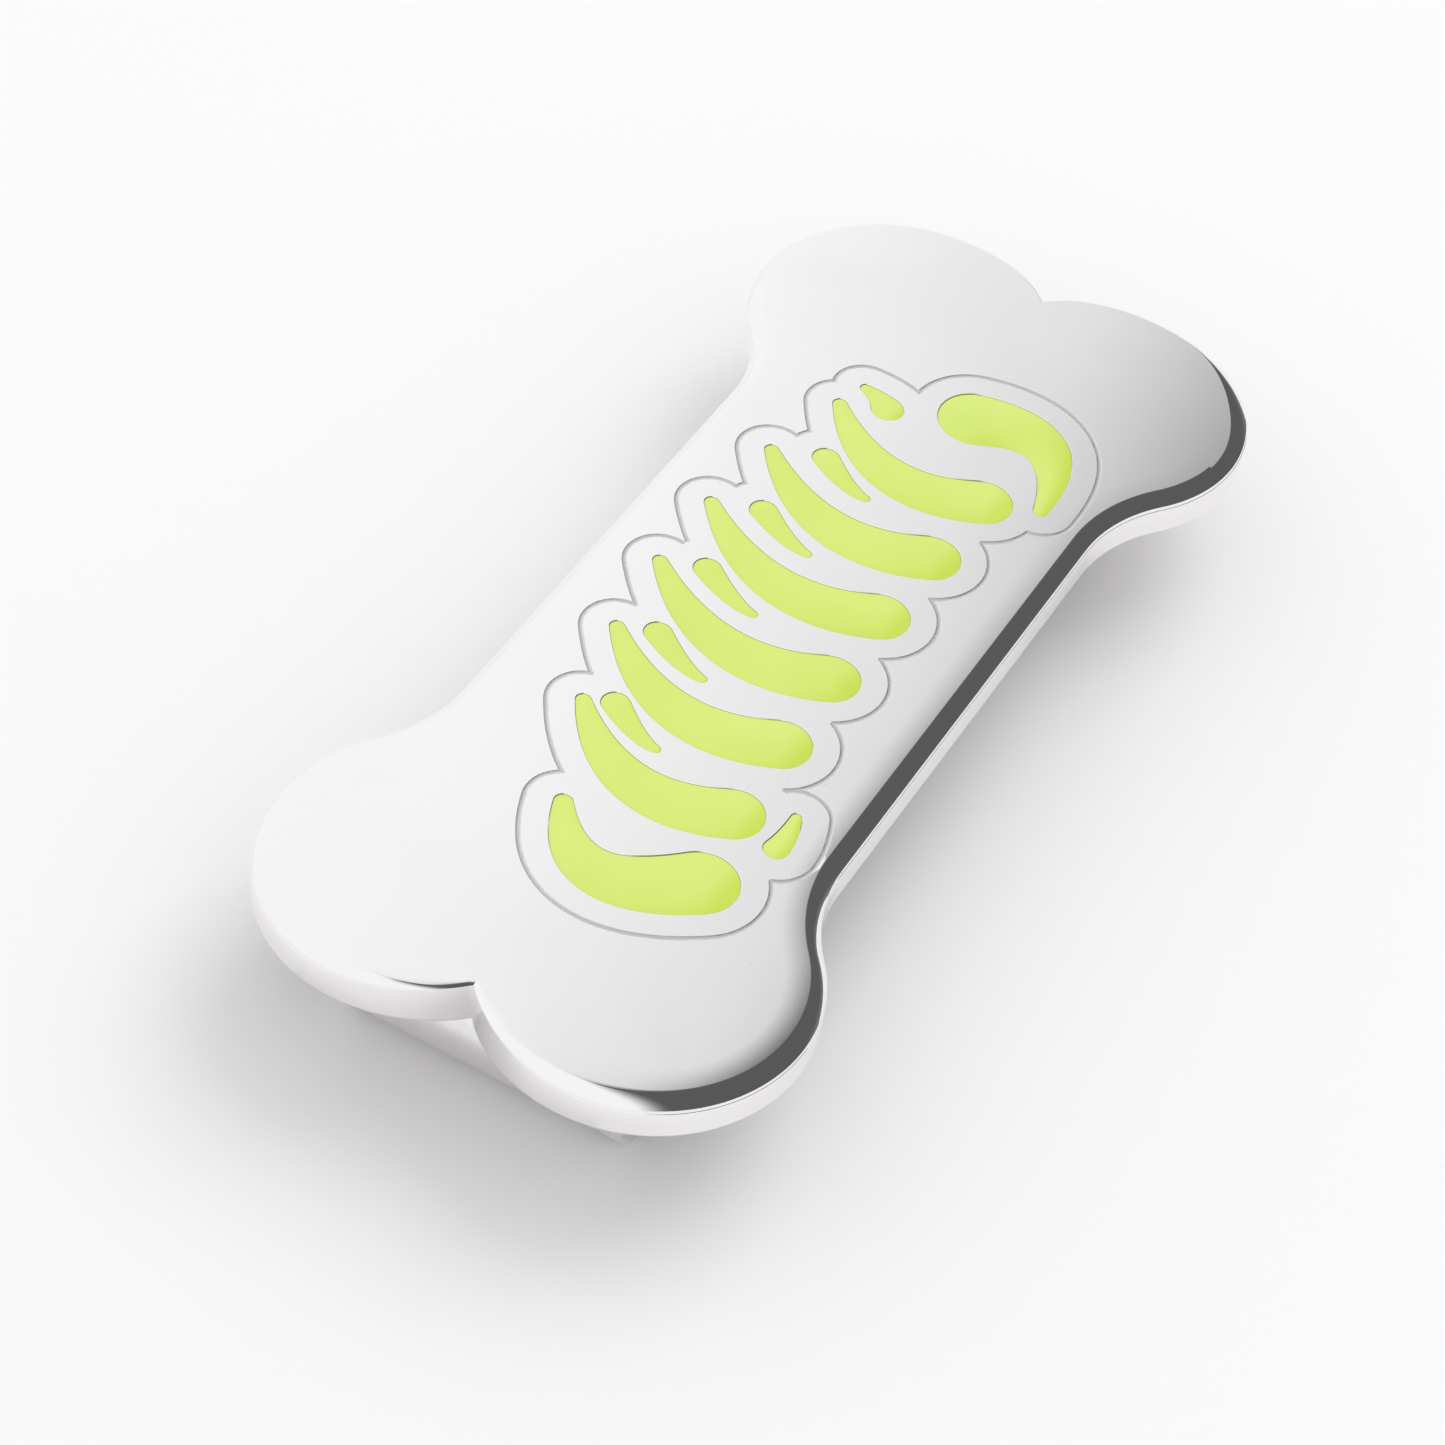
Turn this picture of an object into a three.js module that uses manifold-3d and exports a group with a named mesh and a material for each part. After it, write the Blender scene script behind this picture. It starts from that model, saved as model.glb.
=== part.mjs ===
// Money clip: a bone-shaped polished steel front plate with an enamelled flame border, fixed by four studs
// to a folded spring strip. The strip's back leaf presses folded notes up against its front leg.
// Millimetres, +Z up. The clip lies on its back leaf, and the strip's fold is at the -X end.
import * as THREE from 'three';
import { mergeVertices } from 'three/addons/utils/BufferGeometryUtils.js';
import Module from 'manifold-3d';

// front plate
const overallLength = 78.6;
const overallWidth = 35;
const lobeRadius = 10.1;
const waistWidth = 25.9;
const blendRadius = 10.3;
const plateThickness = 3;
const backEdgeBreak = 0.25;
// The polished edge: how far each ring stands in from the wall, and how far it lies below the top face.
const rollOff = [[0, 0.85], [0.3, 0.4], [0.6, 0.15], [0.85, 0]];

// spring strip
const stripWidth = 19.5;
const stripThickness = 1;
const jawHeight = 5.4;
const foldCentreX = -31.8;
const frontLegEndX = 28;
const stripCornerRadius = 3.5;
const leafFlatEndX = 0;
const leafCrestX = 17;
const leafTipX = 30;
const leafTipLift = 0.02;
const contactClearance = 0.3;
const flexClearance = 0.3;

// fixing studs
const studRadius = 1.2;
const studHeadRadius = 1.9;
const studHeadHeight = 0.35;
const studDepthInPlate = 1.1;
const studEndClearance = 0.3;
const studClearance = 0.15;
const studSpacingX = 36;
const studSpacingY = 11;
const studCentreX = -6;

// enamelled ornament
const ornamentLength = 52.4;
const ornamentMargin = 2.85;
const ornamentCentreX = -0.1;
const enamelDepth = 0.7;
const enamelBelowFace = 0.05;
const enamelClearance = 0.15;
const flameCount = 6;
const flamePitch = 6.5;
const archDrop = 0.008;
// the length and height at which the ornament's strokes are drawn
const drawnLength = 52.4;
const drawnHeight = 20.2;

// heights that follow from the sizes above
const legBottomZ = stripThickness + jawHeight;
const plateBottomZ = legBottomZ + stripThickness;
const plateTopZ = plateBottomZ + plateThickness;

// how finely the curves are cut
const lobeSteps = 22;
const blendSteps = 6;
const strokeSideSteps = 8;
const strokeCapSteps = 6;
const roundSteps = 16;
const cornerSteps = 6;
const rampSteps = 10;
const flareSteps = 9;
const weldDistance = 1e-5;

const wasm = await Module();
wasm.setup();

function toSolid(geometry) {
  const bare = geometry.clone();
  bare.deleteAttribute('normal');
  bare.deleteAttribute('uv');
  const merged = mergeVertices(bare, weldDistance);
  return new wasm.Manifold(new wasm.Mesh({
    numProp: 3,
    vertProperties: new Float32Array(merged.attributes.position.array),
    triVerts: new Uint32Array(merged.index.array),
  }));
}

function toGeometry(solid) {
  const mesh = solid.getMesh();
  const geometry = new THREE.BufferGeometry();
  geometry.setAttribute('position', new THREE.BufferAttribute(new Float32Array(mesh.vertProperties), 3));
  geometry.setIndex(new THREE.BufferAttribute(new Uint32Array(mesh.triVerts), 1));
  return geometry;
}

// A flat outline in XY raised from one height to another.
function prism(outline, bottomZ, topZ, holes = []) {
  const shape = new THREE.Shape(outline);
  shape.holes = holes.map((hole) => new THREE.Path(hole));
  const geometry = new THREE.ExtrudeGeometry(shape, { depth: topZ - bottomZ, bevelEnabled: false });
  return geometry.translate(0, 0, bottomZ);
}

// A side outline in XZ drawn out across the strip's width.
function acrossStrip(sideOutline) {
  const shape = new THREE.Shape(sideOutline);
  const geometry = new THREE.ExtrudeGeometry(shape, { depth: stripWidth, bevelEnabled: false });
  return geometry.rotateX(Math.PI / 2).translate(0, stripWidth / 2, 0);
}

function arcPoints(centreX, centreY, radius, fromAngle, toAngle, steps) {
  const points = [];
  for (let i = 0; i <= steps; i += 1) {
    const angle = fromAngle + (toAngle - fromAngle) * i / steps;
    points.push(new THREE.Vector2(centreX + radius * Math.cos(angle), centreY + radius * Math.sin(angle)));
  }
  return points;
}

// One quarter of the bone, from the notch at the end round the lobe and the blend to the waist.
function boneQuarter(inset) {
  const centreX = overallLength / 2 - lobeRadius;
  const centreY = overallWidth / 2 - lobeRadius;
  const radius = lobeRadius - inset;
  const hollow = blendRadius + inset;
  const blendY = waistWidth / 2 + blendRadius;
  const reach = lobeRadius + blendRadius;
  const blendX = centreX - Math.sqrt(reach ** 2 - (blendY - centreY) ** 2);
  const notchAngle = -Math.asin(centreY / radius);
  const meetAngle = Math.atan2(blendY - centreY, blendX - centreX);
  const lobe = arcPoints(centreX, centreY, radius, notchAngle, meetAngle, lobeSteps);
  const blend = arcPoints(blendX, blendY, hollow, meetAngle + Math.PI, 1.5 * Math.PI, blendSteps);
  return lobe.concat(blend.slice(1));
}

function boneOutline(inset) {
  const quarter = boneQuarter(inset);
  const mirrored = (signX, signY) => quarter.map((p) => new THREE.Vector2(signX * p.x, signY * p.y));
  const topLeft = mirrored(-1, 1).reverse();
  const bottomLeft = mirrored(-1, -1).slice(1);
  const bottomRight = mirrored(1, -1).reverse().slice(0, -1);
  return quarter.concat(topLeft, bottomLeft, bottomRight);
}

// Rings of equal length joined by walls, with a flat cap on the first and the last.
function loftRings(rings) {
  const count = rings[0].outline.length;
  const positions = rings.flatMap((ring) => ring.outline.flatMap((p) => [p.x, p.y, ring.z]));
  const index = [];
  for (let level = 0; level + 1 < rings.length; level += 1) {
    for (let i = 0; i < count; i += 1) {
      const low = level * count;
      const next = (i + 1) % count;
      index.push(low + i, low + next, low + count + next);
      index.push(low + i, low + count + next, low + count + i);
    }
  }
  const last = (rings.length - 1) * count;
  for (const [a, b, c] of THREE.ShapeUtils.triangulateShape(rings[0].outline, [])) {
    index.push(a, c, b);
  }
  for (const [a, b, c] of THREE.ShapeUtils.triangulateShape(rings[rings.length - 1].outline, [])) {
    index.push(last + a, last + b, last + c);
  }
  const geometry = new THREE.BufferGeometry();
  geometry.setAttribute('position', new THREE.Float32BufferAttribute(positions, 3));
  geometry.setIndex(index);
  return geometry;
}

// Strokes of the ornament. Each is a bent spine with a half-width at its start, middle and end.
function ornamentStrokes() {
  const strokes = [];
  for (let i = 0; i < flameCount; i += 1) {
    const x = (i - (flameCount - 1) / 2) * flamePitch;
    const drop = archDrop * x * x;
    strokes.push({
      name: `enamel_flame_${i + 1}`,
      spine: [[x - 0.3, -5 - 0.3 * drop], [x - 4, 1.8 - 0.5 * drop], [x + 2.7, 8.6 - 1.1 * drop]],
      halfWidths: [2, 1.9, 0.5],
    });
  }
  for (let i = 0; i + 1 < flameCount; i += 1) {
    const middle = (i - (flameCount - 2) / 2) * flamePitch;
    const drop = archDrop * middle * middle;
    const x = middle * 1.02;
    strokes.push({
      name: `enamel_spark_${i + 1}`,
      spine: [[x + 0.55, 5.75 - 0.9 * drop], [x - 1.25, 3.05 - 0.7 * drop], [x - 1.35, 1.5 - 0.6 * drop]],
      halfWidths: [0.92, 0.64, 0.34],
    });
  }
  strokes.push({
    name: 'enamel_curl_left',
    spine: [[-22.3, -6.7], [-27.9, -0.6], [-21.3, 3]],
    halfWidths: [2.4, 1.9, 0.6],
  });
  strokes.push({
    name: 'enamel_curl_right',
    spine: [[22.8, -1.7], [25.6, -8.2], [17.4, -9.1]],
    halfWidths: [2.5, 1.7, 0.5],
  });
  strokes.push({
    name: 'enamel_drop_left',
    spine: [[-17.5, -9.1], [-16.3, -9.25], [-14.7, -8.9]],
    halfWidths: [0.8, 0.65, 0.35],
  });
  strokes.push({
    name: 'enamel_drop_right',
    spine: [[20.3, 3.5], [20.9, 4.1], [21.3, 5.6]],
    halfWidths: [1.1, 0.8, 0.4],
  });
  return strokes;
}

// The outline of one stroke: the edge of all the circles carried along its spine.
function strokeOutline(stroke, grow) {
  const scaleX = ornamentLength / drawnLength;
  const scaleY = (waistWidth - 2 * ornamentMargin) / drawnHeight;
  const widthScale = Math.min(scaleX, scaleY);
  const [start, bend, end] = stroke.spine.map(([x, y]) => (
    new THREE.Vector2(ornamentCentreX + x * scaleX, y * scaleY)));
  const curve = new THREE.QuadraticBezierCurve(start, bend, end);
  const [w0, w1, w2] = stroke.halfWidths.map((width) => width * widthScale);
  const around = (t, turn) => {
    const centre = curve.getPoint(t);
    const speed = start.clone().lerp(bend, t).distanceTo(bend.clone().lerp(end, t)) * 2;
    const heading = curve.getTangent(t).angle();
    const radius = (1 - t) ** 2 * w0 + 2 * t * (1 - t) * w1 + t * t * w2;
    const widening = 2 * ((1 - t) * (w1 - w0) + t * (w2 - w1)) / speed;
    const edge = Math.acos(Math.min(0.95, Math.max(-0.95, -widening)));
    const angle = heading + turn(edge);
    const reach = radius + grow;
    return new THREE.Vector2(centre.x + reach * Math.cos(angle), centre.y + reach * Math.sin(angle));
  };
  const points = [];
  for (let i = 0; i < strokeCapSteps; i += 1) {
    points.push(around(1, (edge) => edge * (2 * i / strokeCapSteps - 1)));
  }
  for (let i = 0; i < strokeSideSteps; i += 1) {
    points.push(around(1 - i / strokeSideSteps, (edge) => edge));
  }
  for (let i = 0; i < strokeCapSteps; i += 1) {
    points.push(around(0, (edge) => edge + 2 * (Math.PI - edge) * i / strokeCapSteps));
  }
  for (let i = 0; i < strokeSideSteps; i += 1) {
    points.push(around(i / strokeSideSteps, (edge) => -edge));
  }
  return points;
}

function studCentres() {
  const centres = [];
  for (const signX of [-1, 1]) {
    for (const signY of [-1, 1]) {
      centres.push([studCentreX + signX * studSpacingX / 2, signY * studSpacingY / 2]);
    }
  }
  return centres;
}

function makeFrontPlate() {
  const rings = [
    { outline: boneOutline(backEdgeBreak), z: plateBottomZ },
    { outline: boneOutline(0), z: plateBottomZ + backEdgeBreak },
    ...rollOff.map(([inset, below]) => ({ outline: boneOutline(inset), z: plateTopZ - below })),
  ];
  let plate = toSolid(loftRings(rings));
  for (const stroke of ornamentStrokes()) {
    const recess = prism(strokeOutline(stroke, 0), plateTopZ - enamelDepth, plateTopZ + 1);
    plate = plate.subtract(toSolid(recess));
  }
  const holeDepth = studDepthInPlate + studEndClearance;
  const holeRadius = studRadius + studClearance;
  const drill = new THREE.CylinderGeometry(holeRadius, holeRadius, holeDepth + 1, roundSteps);
  for (const [x, y] of studCentres()) {
    const hole = drill.clone().rotateX(Math.PI / 2);
    hole.translate(x, y, plateBottomZ + (holeDepth - 1) / 2);
    plate = plate.subtract(toSolid(hole));
  }
  return toGeometry(plate);
}

function makeEnamel(stroke) {
  const outline = strokeOutline(stroke, -enamelClearance);
  return prism(outline, plateTopZ - enamelDepth, plateTopZ - enamelBelowFace);
}

function stripPlan(startX, endX) {
  const half = stripWidth / 2;
  const r = stripCornerRadius;
  const upper = arcPoints(endX - r, half - r, r, 0, Math.PI / 2, cornerSteps);
  const lower = arcPoints(endX - r, r - half, r, -Math.PI / 2, 0, cornerSteps);
  return [
    new THREE.Vector2(startX, -half),
    ...lower,
    ...upper,
    new THREE.Vector2(startX, half),
  ];
}

function makeFrontLeg() {
  const holes = studCentres().map(([x, y]) => (
    arcPoints(x, y, studRadius + studClearance, 0, 2 * Math.PI, roundSteps).slice(0, -1)));
  return prism(stripPlan(foldCentreX, frontLegEndX), legBottomZ, plateBottomZ, holes);
}

function makeFold() {
  const centreZ = stripThickness + jawHeight / 2;
  const inner = jawHeight / 2;
  const outer = inner + stripThickness;
  const outside = arcPoints(foldCentreX, centreZ, outer, Math.PI / 2, 1.5 * Math.PI, roundSteps);
  const inside = arcPoints(foldCentreX, centreZ, inner, 1.5 * Math.PI, Math.PI / 2, roundSteps);
  return acrossStrip(outside.concat(inside));
}

// Eases from 0 to 1 with level ends, so each bend of the leaf runs smoothly into the next.
function ease(t) {
  return (1 - Math.cos(Math.PI * t)) / 2;
}

function leafMiddleLine() {
  const restZ = stripThickness / 2;
  const crestZ = legBottomZ - contactClearance - stripThickness / 2;
  const points = [new THREE.Vector2(foldCentreX + flexClearance, restZ)];
  for (let i = 0; i <= rampSteps; i += 1) {
    const t = i / rampSteps;
    const x = leafFlatEndX + (leafCrestX - leafFlatEndX) * t;
    points.push(new THREE.Vector2(x, restZ + (crestZ - restZ) * ease(t)));
  }
  for (let i = 1; i <= flareSteps; i += 1) {
    const t = i / flareSteps;
    const x = leafCrestX + (leafTipX - leafCrestX) * t;
    points.push(new THREE.Vector2(x, crestZ + (restZ + leafTipLift - crestZ) * ease(t)));
  }
  return points;
}

function makeLeaf() {
  const middle = leafMiddleLine();
  const upper = [];
  const lower = [];
  for (let i = 0; i < middle.length; i += 1) {
    const before = middle[Math.max(0, i - 1)];
    const after = middle[Math.min(middle.length - 1, i + 1)];
    const atEnd = i === 0 || i === middle.length - 1;
    const along = atEnd ? new THREE.Vector2(1, 0) : after.clone().sub(before).normalize();
    const side = new THREE.Vector2(-along.y, along.x).multiplyScalar(stripThickness / 2);
    upper.push(middle[i].clone().add(side));
    lower.push(middle[i].clone().sub(side));
  }
  const bent = toSolid(acrossStrip(lower.concat(upper.reverse())));
  const plan = toSolid(prism(stripPlan(foldCentreX, leafTipX), -1, plateBottomZ));
  return toGeometry(bent.intersect(plan));
}

function makeStud(x, y) {
  const headBottom = legBottomZ - studHeadHeight;
  const profile = [
    new THREE.Vector2(0, headBottom),
    new THREE.Vector2(studHeadRadius - studHeadHeight, headBottom),
    new THREE.Vector2(studHeadRadius, legBottomZ),
    new THREE.Vector2(studRadius, legBottomZ),
    new THREE.Vector2(studRadius, plateBottomZ + studDepthInPlate),
    new THREE.Vector2(0, plateBottomZ + studDepthInPlate),
  ];
  const lathe = new THREE.LatheGeometry(profile, roundSteps);
  lathe.rotateX(Math.PI / 2).translate(x, y, 0);
  return lathe;
}

const group = new THREE.Group();

function addPart(name, geometry, colour, roughness, metalness) {
  const bare = geometry.clone();
  bare.deleteAttribute('normal');
  bare.deleteAttribute('uv');
  const mesh = new THREE.Mesh(
    mergeVertices(bare, weldDistance),
    new THREE.MeshStandardMaterial({ color: colour, roughness, metalness }),
  );
  mesh.name = name;
  group.add(mesh);
}

addPart('front_plate', makeFrontPlate(), 0xe4e4e6, 0.08, 1);
for (const stroke of ornamentStrokes()) {
  addPart(stroke.name, makeEnamel(stroke), 0xc3e65a, 0.2, 0);
}
addPart('spring_front_leg', makeFrontLeg(), 0xd0d0d4, 0.2, 1);
addPart('spring_fold', makeFold(), 0xd0d0d4, 0.2, 1);
addPart('spring_leaf', makeLeaf(), 0xd0d0d4, 0.2, 1);
studCentres().forEach(([x, y], i) => {
  addPart(`stud_${i + 1}`, makeStud(x, y), 0xb8b8bc, 0.3, 1);
});

export default group;
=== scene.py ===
import math
import bpy
import numpy as np
from mathutils import Matrix, Vector


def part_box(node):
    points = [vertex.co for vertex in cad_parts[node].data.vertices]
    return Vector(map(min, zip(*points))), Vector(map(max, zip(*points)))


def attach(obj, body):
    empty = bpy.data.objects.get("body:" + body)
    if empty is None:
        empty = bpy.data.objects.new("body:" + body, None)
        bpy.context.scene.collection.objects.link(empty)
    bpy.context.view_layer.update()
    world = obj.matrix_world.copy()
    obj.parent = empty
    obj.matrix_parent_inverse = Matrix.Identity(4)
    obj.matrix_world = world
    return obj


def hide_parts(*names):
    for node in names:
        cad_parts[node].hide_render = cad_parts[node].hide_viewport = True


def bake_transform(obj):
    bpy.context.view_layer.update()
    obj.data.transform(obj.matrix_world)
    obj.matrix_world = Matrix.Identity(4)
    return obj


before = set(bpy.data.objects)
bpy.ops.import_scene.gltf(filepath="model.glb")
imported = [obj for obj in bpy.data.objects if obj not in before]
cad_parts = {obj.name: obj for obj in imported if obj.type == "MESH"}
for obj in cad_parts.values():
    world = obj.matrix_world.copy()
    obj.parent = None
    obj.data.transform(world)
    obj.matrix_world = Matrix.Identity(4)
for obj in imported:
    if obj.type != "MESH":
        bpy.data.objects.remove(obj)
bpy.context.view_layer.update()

mm = 0.001
sceneScale = {"floorSize": 6.0, "wallTopBelowFace": 0.85}
plateLow, plateHigh = (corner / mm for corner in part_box("front_plate"))
legLow, legHigh = (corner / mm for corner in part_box("spring_front_leg"))
foldLow, foldHigh = (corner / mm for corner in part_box("spring_fold"))
leafLow, leafHigh = (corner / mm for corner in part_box("spring_leaf"))
plateTop = plateHigh.z
plateBottom = plateLow.z

cameraView = {
    "position": (-159.89, -67.35, 168.40),  # from the middle of the plate's upper wall edge
    "forward": (0.63845, 0.28142, -0.71637),
    "up": (0.59373, 0.41218, 0.69108),
    "lens": 97.9,
    "sensor": 36.0,
    "clip": (0.005, 20.0),
}


def makeCamera(settings):
    data = bpy.data.cameras.new("camera")
    data.lens = settings["lens"]
    data.sensor_width = settings["sensor"]
    data.clip_start, data.clip_end = settings["clip"]
    camera = bpy.data.objects.new("camera", data)
    forward = Vector(settings["forward"]).normalized()
    right = forward.cross(Vector(settings["up"])).normalized()
    up = right.cross(forward)
    place = Vector(settings["position"]) + Vector((0, 0, plateTop - sceneScale["wallTopBelowFace"]))
    turn = Matrix((right, up, -forward)).transposed().to_4x4()
    camera.matrix_world = Matrix.Translation(place * mm) @ turn
    bpy.context.scene.collection.objects.link(camera)
    bpy.context.scene.camera = camera


makeCamera(cameraView)
print("camera placed")


def newMesh(name, points, faces, scale=mm):
    mesh = bpy.data.meshes.new(name)
    mesh.from_pydata([tuple(c * scale for c in p) for p in points], [], faces)
    mesh.validate()
    piece = bpy.data.objects.new(name, mesh)
    bpy.context.scene.collection.objects.link(piece)
    return piece


def smoothByAngle(piece, degrees):
    piece.data.shade_smooth()
    piece.data.set_sharp_from_angle(angle=math.radians(degrees))


def giveMaterial(piece, material):
    piece.data.materials.clear()
    piece.data.materials.append(material)


def evaluatedCopy(piece):
    # the finished shape of a piece with its modifiers worked in
    bpy.context.view_layer.update()
    evaluated = piece.evaluated_get(bpy.context.evaluated_depsgraph_get())
    mesh = bpy.data.meshes.new_from_object(evaluated)
    old = piece.data
    piece.modifiers.clear()
    piece.data = mesh
    mesh.name = piece.name
    if isinstance(old, bpy.types.Mesh):
        bpy.data.meshes.remove(old)
    return piece


def socketNamed(tree, name):
    for item in tree.interface.items_tree:
        if item.item_type == "SOCKET" and item.in_out == "INPUT" and item.name == name:
            return item.identifier
    raise KeyError(name)


def addNodes(tree, kinds):
    return {label: tree.nodes.new(kind) for label, kind in kinds.items()}


def newShaderGroup(name, inputs, outputs):
    tree = bpy.data.node_groups.new(name, "ShaderNodeTree")
    for label, kind, value in inputs:
        socket = tree.interface.new_socket(name=label, in_out="INPUT", socket_type=kind)
        socket.default_value = value
    for label, kind in outputs:
        tree.interface.new_socket(name=label, in_out="OUTPUT", socket_type=kind)
    return tree


hairlines = {
    "directions": ((0.35, 1.0), (1.25, 0.7), (2.5, 0.85)),  # turn about Z in radians, strength
    "scaleThrough": 60.0, "detail": 1.0,
}


def makeHairlineGroup(settings):
    # fine straight scratches in three directions, each a stretched noise cut to thin lines
    tree = newShaderGroup(
        "hairlineScratches",
        [("Density", "NodeSocketFloat", 900.0), ("Stretch", "NodeSocketFloat", 40.0),
         ("Sharpness", "NodeSocketFloat", 0.035)],
        [("Mask", "NodeSocketFloat")])
    links = tree.links
    ends = addNodes(tree, {"in": "NodeGroupInput", "out": "NodeGroupOutput"})
    coords = tree.nodes.new("ShaderNodeTexCoord")
    total = None
    for turn, share in settings["directions"]:
        parts = addNodes(tree, {
            "rotate": "ShaderNodeVectorRotate", "squeeze": "ShaderNodeVectorMath",
            "scale": "ShaderNodeCombineXYZ", "divide": "ShaderNodeMath",
            "noise": "ShaderNodeTexNoise", "centre": "ShaderNodeMath", "away": "ShaderNodeMath",
            "line": "ShaderNodeMapRange", "share": "ShaderNodeMath"})
        parts["rotate"].rotation_type = "Z_AXIS"
        parts["rotate"].inputs["Angle"].default_value = turn
        links.new(coords.outputs["Object"], parts["rotate"].inputs["Vector"])
        parts["divide"].operation = "DIVIDE"
        links.new(ends["in"].outputs["Density"], parts["divide"].inputs[0])
        links.new(ends["in"].outputs["Stretch"], parts["divide"].inputs[1])
        links.new(parts["divide"].outputs[0], parts["scale"].inputs["X"])
        links.new(ends["in"].outputs["Density"], parts["scale"].inputs["Y"])
        parts["scale"].inputs["Z"].default_value = settings["scaleThrough"]
        parts["squeeze"].operation = "MULTIPLY"
        links.new(parts["rotate"].outputs[0], parts["squeeze"].inputs[0])
        links.new(parts["scale"].outputs[0], parts["squeeze"].inputs[1])
        links.new(parts["squeeze"].outputs[0], parts["noise"].inputs["Vector"])
        parts["noise"].inputs["Scale"].default_value = 1.0
        parts["noise"].inputs["Detail"].default_value = settings["detail"]
        parts["centre"].operation = "SUBTRACT"
        parts["centre"].inputs[1].default_value = 0.5
        links.new(parts["noise"].outputs["Fac"], parts["centre"].inputs[0])
        parts["away"].operation = "ABSOLUTE"
        links.new(parts["centre"].outputs[0], parts["away"].inputs[0])
        links.new(parts["away"].outputs[0], parts["line"].inputs["Value"])
        links.new(ends["in"].outputs["Sharpness"], parts["line"].inputs["From Max"])
        parts["line"].inputs["To Min"].default_value = 1.0
        parts["line"].inputs["To Max"].default_value = 0.0
        parts["share"].operation = "MULTIPLY"
        parts["share"].inputs[1].default_value = share
        links.new(parts["line"].outputs["Result"], parts["share"].inputs[0])
        if total is None:
            total = parts["share"].outputs[0]
        else:
            most = tree.nodes.new("ShaderNodeMath")
            most.operation = "MAXIMUM"
            links.new(total, most.inputs[0])
            links.new(parts["share"].outputs[0], most.inputs[1])
            total = most.outputs[0]
    links.new(total, ends["out"].inputs["Mask"])
    return tree


handling = {"detail": 5.0, "distortion": 0.8, "smudgeFrom": 0.42, "smudgeTo": 0.72}


def makeHandlingGroup(settings):
    # soft smudges left by handling, and sparse specks of dust
    tree = newShaderGroup(
        "handlingMarks",
        [("SmudgeScale", "NodeSocketFloat", 70.0), ("SpeckScale", "NodeSocketFloat", 900.0),
         ("SpeckSize", "NodeSocketFloat", 0.12), ("SpeckShare", "NodeSocketFloat", 0.03)],
        [("Smudge", "NodeSocketFloat"), ("Speck", "NodeSocketFloat")])
    links = tree.links
    parts = addNodes(tree, {
        "in": "NodeGroupInput", "out": "NodeGroupOutput", "coords": "ShaderNodeTexCoord",
        "smudge": "ShaderNodeTexNoise", "soften": "ShaderNodeMapRange",
        "cells": "ShaderNodeTexVoronoi", "near": "ShaderNodeMath",
        "split": "ShaderNodeSeparateColor", "few": "ShaderNodeMath",
        "both": "ShaderNodeMath"})
    links.new(parts["coords"].outputs["Object"], parts["smudge"].inputs["Vector"])
    links.new(parts["in"].outputs["SmudgeScale"], parts["smudge"].inputs["Scale"])
    parts["smudge"].inputs["Detail"].default_value = settings["detail"]
    parts["smudge"].inputs["Distortion"].default_value = settings["distortion"]
    links.new(parts["smudge"].outputs["Fac"], parts["soften"].inputs["Value"])
    parts["soften"].interpolation_type = "SMOOTHSTEP"
    parts["soften"].inputs["From Min"].default_value = settings["smudgeFrom"]
    parts["soften"].inputs["From Max"].default_value = settings["smudgeTo"]
    links.new(parts["soften"].outputs["Result"], parts["out"].inputs["Smudge"])
    links.new(parts["coords"].outputs["Object"], parts["cells"].inputs["Vector"])
    links.new(parts["in"].outputs["SpeckScale"], parts["cells"].inputs["Scale"])
    parts["near"].operation = "LESS_THAN"
    links.new(parts["cells"].outputs["Distance"], parts["near"].inputs[0])
    links.new(parts["in"].outputs["SpeckSize"], parts["near"].inputs[1])
    links.new(parts["cells"].outputs["Color"], parts["split"].inputs["Color"])
    parts["few"].operation = "LESS_THAN"
    links.new(parts["split"].outputs["Red"], parts["few"].inputs[0])
    links.new(parts["in"].outputs["SpeckShare"], parts["few"].inputs[1])
    parts["both"].operation = "MULTIPLY"
    links.new(parts["near"].outputs[0], parts["both"].inputs[0])
    links.new(parts["few"].outputs[0], parts["both"].inputs[1])
    links.new(parts["both"].outputs[0], parts["out"].inputs["Speck"])
    return tree


hairlineGroup = makeHairlineGroup(hairlines)
handlingGroup = makeHandlingGroup(handling)


def newMaterial(name):
    material = bpy.data.materials.new(name)
    material.use_nodes = True
    tree = material.node_tree
    shader = tree.nodes["Principled BSDF"]
    return material, tree, shader


def placeGroup(tree, group, values):
    node = tree.nodes.new("ShaderNodeGroup")
    node.node_tree = group
    for label, value in values.items():
        node.inputs[label].default_value = value
    return node


def rangeNode(tree, source, low, high, fromLow=0.0, fromHigh=1.0):
    node = tree.nodes.new("ShaderNodeMapRange")
    node.inputs["From Min"].default_value = fromLow
    node.inputs["From Max"].default_value = fromHigh
    node.inputs["To Min"].default_value = low
    node.inputs["To Max"].default_value = high
    tree.links.new(source, node.inputs["Value"])
    return node.outputs["Result"]


def mathNode(tree, operation, first, second):
    node = tree.nodes.new("ShaderNodeMath")
    node.operation = operation
    for index, value in enumerate((first, second)):
        if isinstance(value, (int, float)):
            node.inputs[index].default_value = value
        else:
            tree.links.new(value, node.inputs[index])
    return node.outputs[0]


def mixColours(tree, factor, first, second):
    node = tree.nodes.new("ShaderNodeMix")
    node.data_type = "RGBA"
    node.inputs[6].default_value = (*first, 1)
    node.inputs[7].default_value = (*second, 1)
    tree.links.new(factor, node.inputs[0])
    return node.outputs[2]


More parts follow.
